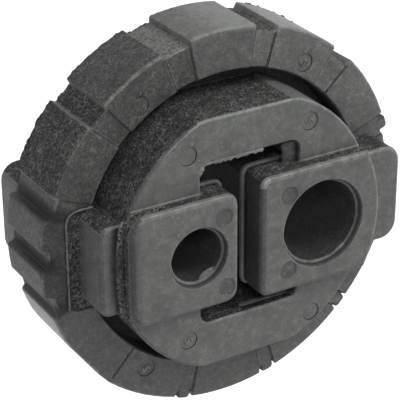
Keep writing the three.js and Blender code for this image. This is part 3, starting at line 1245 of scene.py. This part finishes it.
    def on_corner(self, edge: bmesh.types.BMEdge) -> bool:
        """Whether an edge runs along the depth where the core's round meets one of its flats.

        Args:
            edge: The edge.

        Returns:
            True on such a corner.
        """
        solid = self.solid
        ends = [vertex.co / MM for vertex in edge.verts]
        turn = math.acos(solid.core_flat / solid.core_radius)
        reach = solid.core_radius * math.sin(turn)
        near = all(
            math.hypot(abs(end.x) - reach, abs(end.z) - solid.core_flat) < self.corner_reach for end in ends
        )
        depths = [abs(end.y) for end in ends]
        ends_well = all(d > solid.ring_half_width - 0.1 or d < solid.membrane_half + 0.1 for d in depths)
        along_depth = abs(ends[0].x - ends[1].x) < 0.4 and abs(ends[0].y - ends[1].y) > 0.05
        return near and ends_well and along_depth

    def on_mark(self, edge: bmesh.types.BMEdge) -> bool:
        """Whether an edge belongs to an ejector mark, which is too shallow for a round."""
        middle = (edge.verts[0].co + edge.verts[1].co) / (2.0 * MM)
        return middle.y < -self.solid.ring_half_width + 0.3 and self.solid.near_mark(middle.x, middle.z)

    def edge_limit(self, edge: bmesh.types.BMEdge, grain: bmesh.types.BMLayerItem) -> float:
        """Greatest length of an edge: short on rough skin in front or outside, and at the painted shades.

        Args:
            edge: The edge.
            grain: The face layer grain.

        Returns:
            The length in millimetres.
        """
        middle = (edge.verts[0].co + edge.verts[1].co) / (2.0 * MM)
        if max(face[grain] for face in edge.link_faces) > self.fine_grain:
            outside = math.hypot(middle.x, middle.z) > self.solid.ring_inner + 2.0
            return self.fine_edge if outside or middle.y < self.seen_depth else self.coarse_edge
        return self.shade_edge if self.painted_shade.near_fade(middle) else self.coarse_edge

    def refine(self, shape: bmesh.types.BMesh) -> None:
        """Splits long edges, finely where the skin is rough, so that it can be roughened.

        Args:
            shape: The mesh to split.
        """
        grain = shape.faces.layers.float["grain"]
        for _ in range(self.splits):
            bmesh.ops.triangulate(shape, faces=[f for f in shape.faces if len(f.verts) > 3])
            long_edges = [e for e in shape.edges if e.calc_length() / MM > self.edge_limit(e, grain)]
            if not long_edges:
                return
            bmesh.ops.subdivide_edges(shape, edges=long_edges, cuts=1, use_grid_fill=False)

    def roughen(self, shape: bmesh.types.BMesh) -> None:
        """Sinks the vertices of the rough skin by a fixed noise, never outwards.

        Args:
            shape: The mesh to roughen.
        """
        grain = shape.faces.layers.float["grain"]
        shape.normal_update()
        moves = []
        for vertex in shape.verts:
            share = min(f[grain] for f in vertex.link_faces)
            place = vertex.co / MM
            lump = sum(weight * noise.noise(place * per_mm) for weight, per_mm in self.lumps)
            depth = self.grain_depth * (self.least_grain + share) * (lump - 1.0) / 2.0
            moves.append((vertex, vertex.normal * depth * MM))
        for vertex, move in moves:
            vertex.co += move

    def build(self) -> bpy.types.Object:
        """Makes the dressed rubber.

        Returns:
            The finished object.
        """
        shape = self.copy_of_solid()
        self.round_edges(shape)
        self.zones.paint(shape)
        self.refine(shape)
        self.painted_shade.paint(shape)
        self.roughen(shape)
        bmesh.ops.triangulate(shape, faces=[f for f in shape.faces if len(f.verts) > 3])
        material = self.finish.material()
        for trim in self.trims:
            trim.build(material)
        rubber = rubber_piece("hanger_skin", shape, material)
        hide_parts("hanger_rubber")
        weighted = rubber.modifiers.new("even_normals", "WEIGHTED_NORMAL")
        weighted.weight = 50
        weighted.keep_sharp = False
        return rubber


@dataclass
class Lamp:
    """One soft area lamp, aimed at the part. Lengths in metres."""

    name: str
    place: tuple[float, float, float]
    size: float
    watts: float

    def build(self) -> None:
        """Makes the lamp and turns it to the part's middle."""
        data = bpy.data.lights.new(self.name, "AREA")
        data.shape = "DISK"
        data.size = self.size
        data.energy = self.watts
        lamp = bpy.data.objects.new(self.name, data)
        lamp.location = self.place
        lamp.rotation_euler = (-Vector(self.place)).to_track_quat("-Z", "Y").to_euler()
        bpy.context.scene.collection.objects.link(lamp)


@dataclass
class Studio:
    """White sweep, soft light and the camera. Lengths in metres, angles in degrees."""

    azimuth: float = 30.711
    elevation: float = 26.868
    roll: float = -0.356
    distance: float = 0.26305
    target: tuple[float, float, float] = (-0.00496, -0.006425, 0.004631)
    lens_mm: float = 150.58
    floor_height: float = -0.11
    floor_size: float = 6.0
    world_strength: float = 0.62
    lamps: tuple[Lamp, ...] = (
        Lamp("key_lamp", (0.34, -0.38, 0.62), 0.42, 4.6),
        Lamp("near_lamp", (-0.27, -0.6, 0.5), 0.16, 1.6),
    )
    paper: PaperFinish = field(default_factory=PaperFinish)

    def camera(self) -> None:
        """Places the camera where the photograph was taken from."""
        az, el = math.radians(self.azimuth), math.radians(self.elevation)
        back = Vector((-math.sin(az) * math.cos(el), -math.cos(az) * math.cos(el), math.sin(el)))
        right = (-back).cross(Vector((0.0, 0.0, 1.0))).normalized()
        up = right.cross(-back)
        roll = Matrix.Rotation(math.radians(self.roll), 3, back)
        right, up = roll @ right, roll @ up
        place = Vector(self.target) + back * self.distance
        data = bpy.data.cameras.new("photo_camera")
        data.lens = self.lens_mm
        data.sensor_width = 36.0
        data.clip_start = 0.01
        camera = bpy.data.objects.new("photo_camera", data)
        axes = Matrix((right, up, back)).transposed().to_4x4()
        camera.matrix_world = Matrix.Translation(place) @ axes
        bpy.context.scene.collection.objects.link(camera)
        bpy.context.scene.camera = camera

    def sweep(self) -> bpy.types.Object:
        """Lays the white floor.

        Returns:
            The floor.
        """
        shape = bmesh.new()
        bmesh.ops.create_grid(shape, x_segments=8, y_segments=8, size=self.floor_size / 2.0)
        bmesh.ops.translate(shape, verts=shape.verts, vec=(0.0, 0.0, self.floor_height))
        mesh = bpy.data.meshes.new("sweep")
        shape.to_mesh(mesh)
        shape.free()
        mesh.materials.append(self.paper.material())
        floor = bpy.data.objects.new("sweep", mesh)
        bpy.context.scene.collection.objects.link(floor)
        return floor

    def world(self) -> None:
        """Fills the room with soft light, and shows it as plain white to camera and gloss."""
        kit = ShaderKit(bpy.data.worlds.new("white_room"))
        strength = self.world_strength + (1.0 - self.world_strength) * kit.looked_at()
        sky = kit.node("ShaderNodeBackground", {}, {"Color": self.paper.white, "Strength": strength})
        kit.node("ShaderNodeOutputWorld", {}, {"Surface": sky})
        bpy.context.scene.world = kit.owner

    def build(self) -> None:
        """Sets up floor, light and camera."""
        self.sweep()
        self.world()
        for lamp in self.lamps:
            lamp.build()
        self.camera()
        bpy.context.scene.view_settings.view_transform = "Standard"
        log.info("studio with %d lamps", len(self.lamps))


def main() -> None:
    """Builds the rubber and its studio."""
    logging.basicConfig(level=logging.INFO)
    HangerRubber().build()
    Studio().build()


if __name__ == "__main__":
    main()
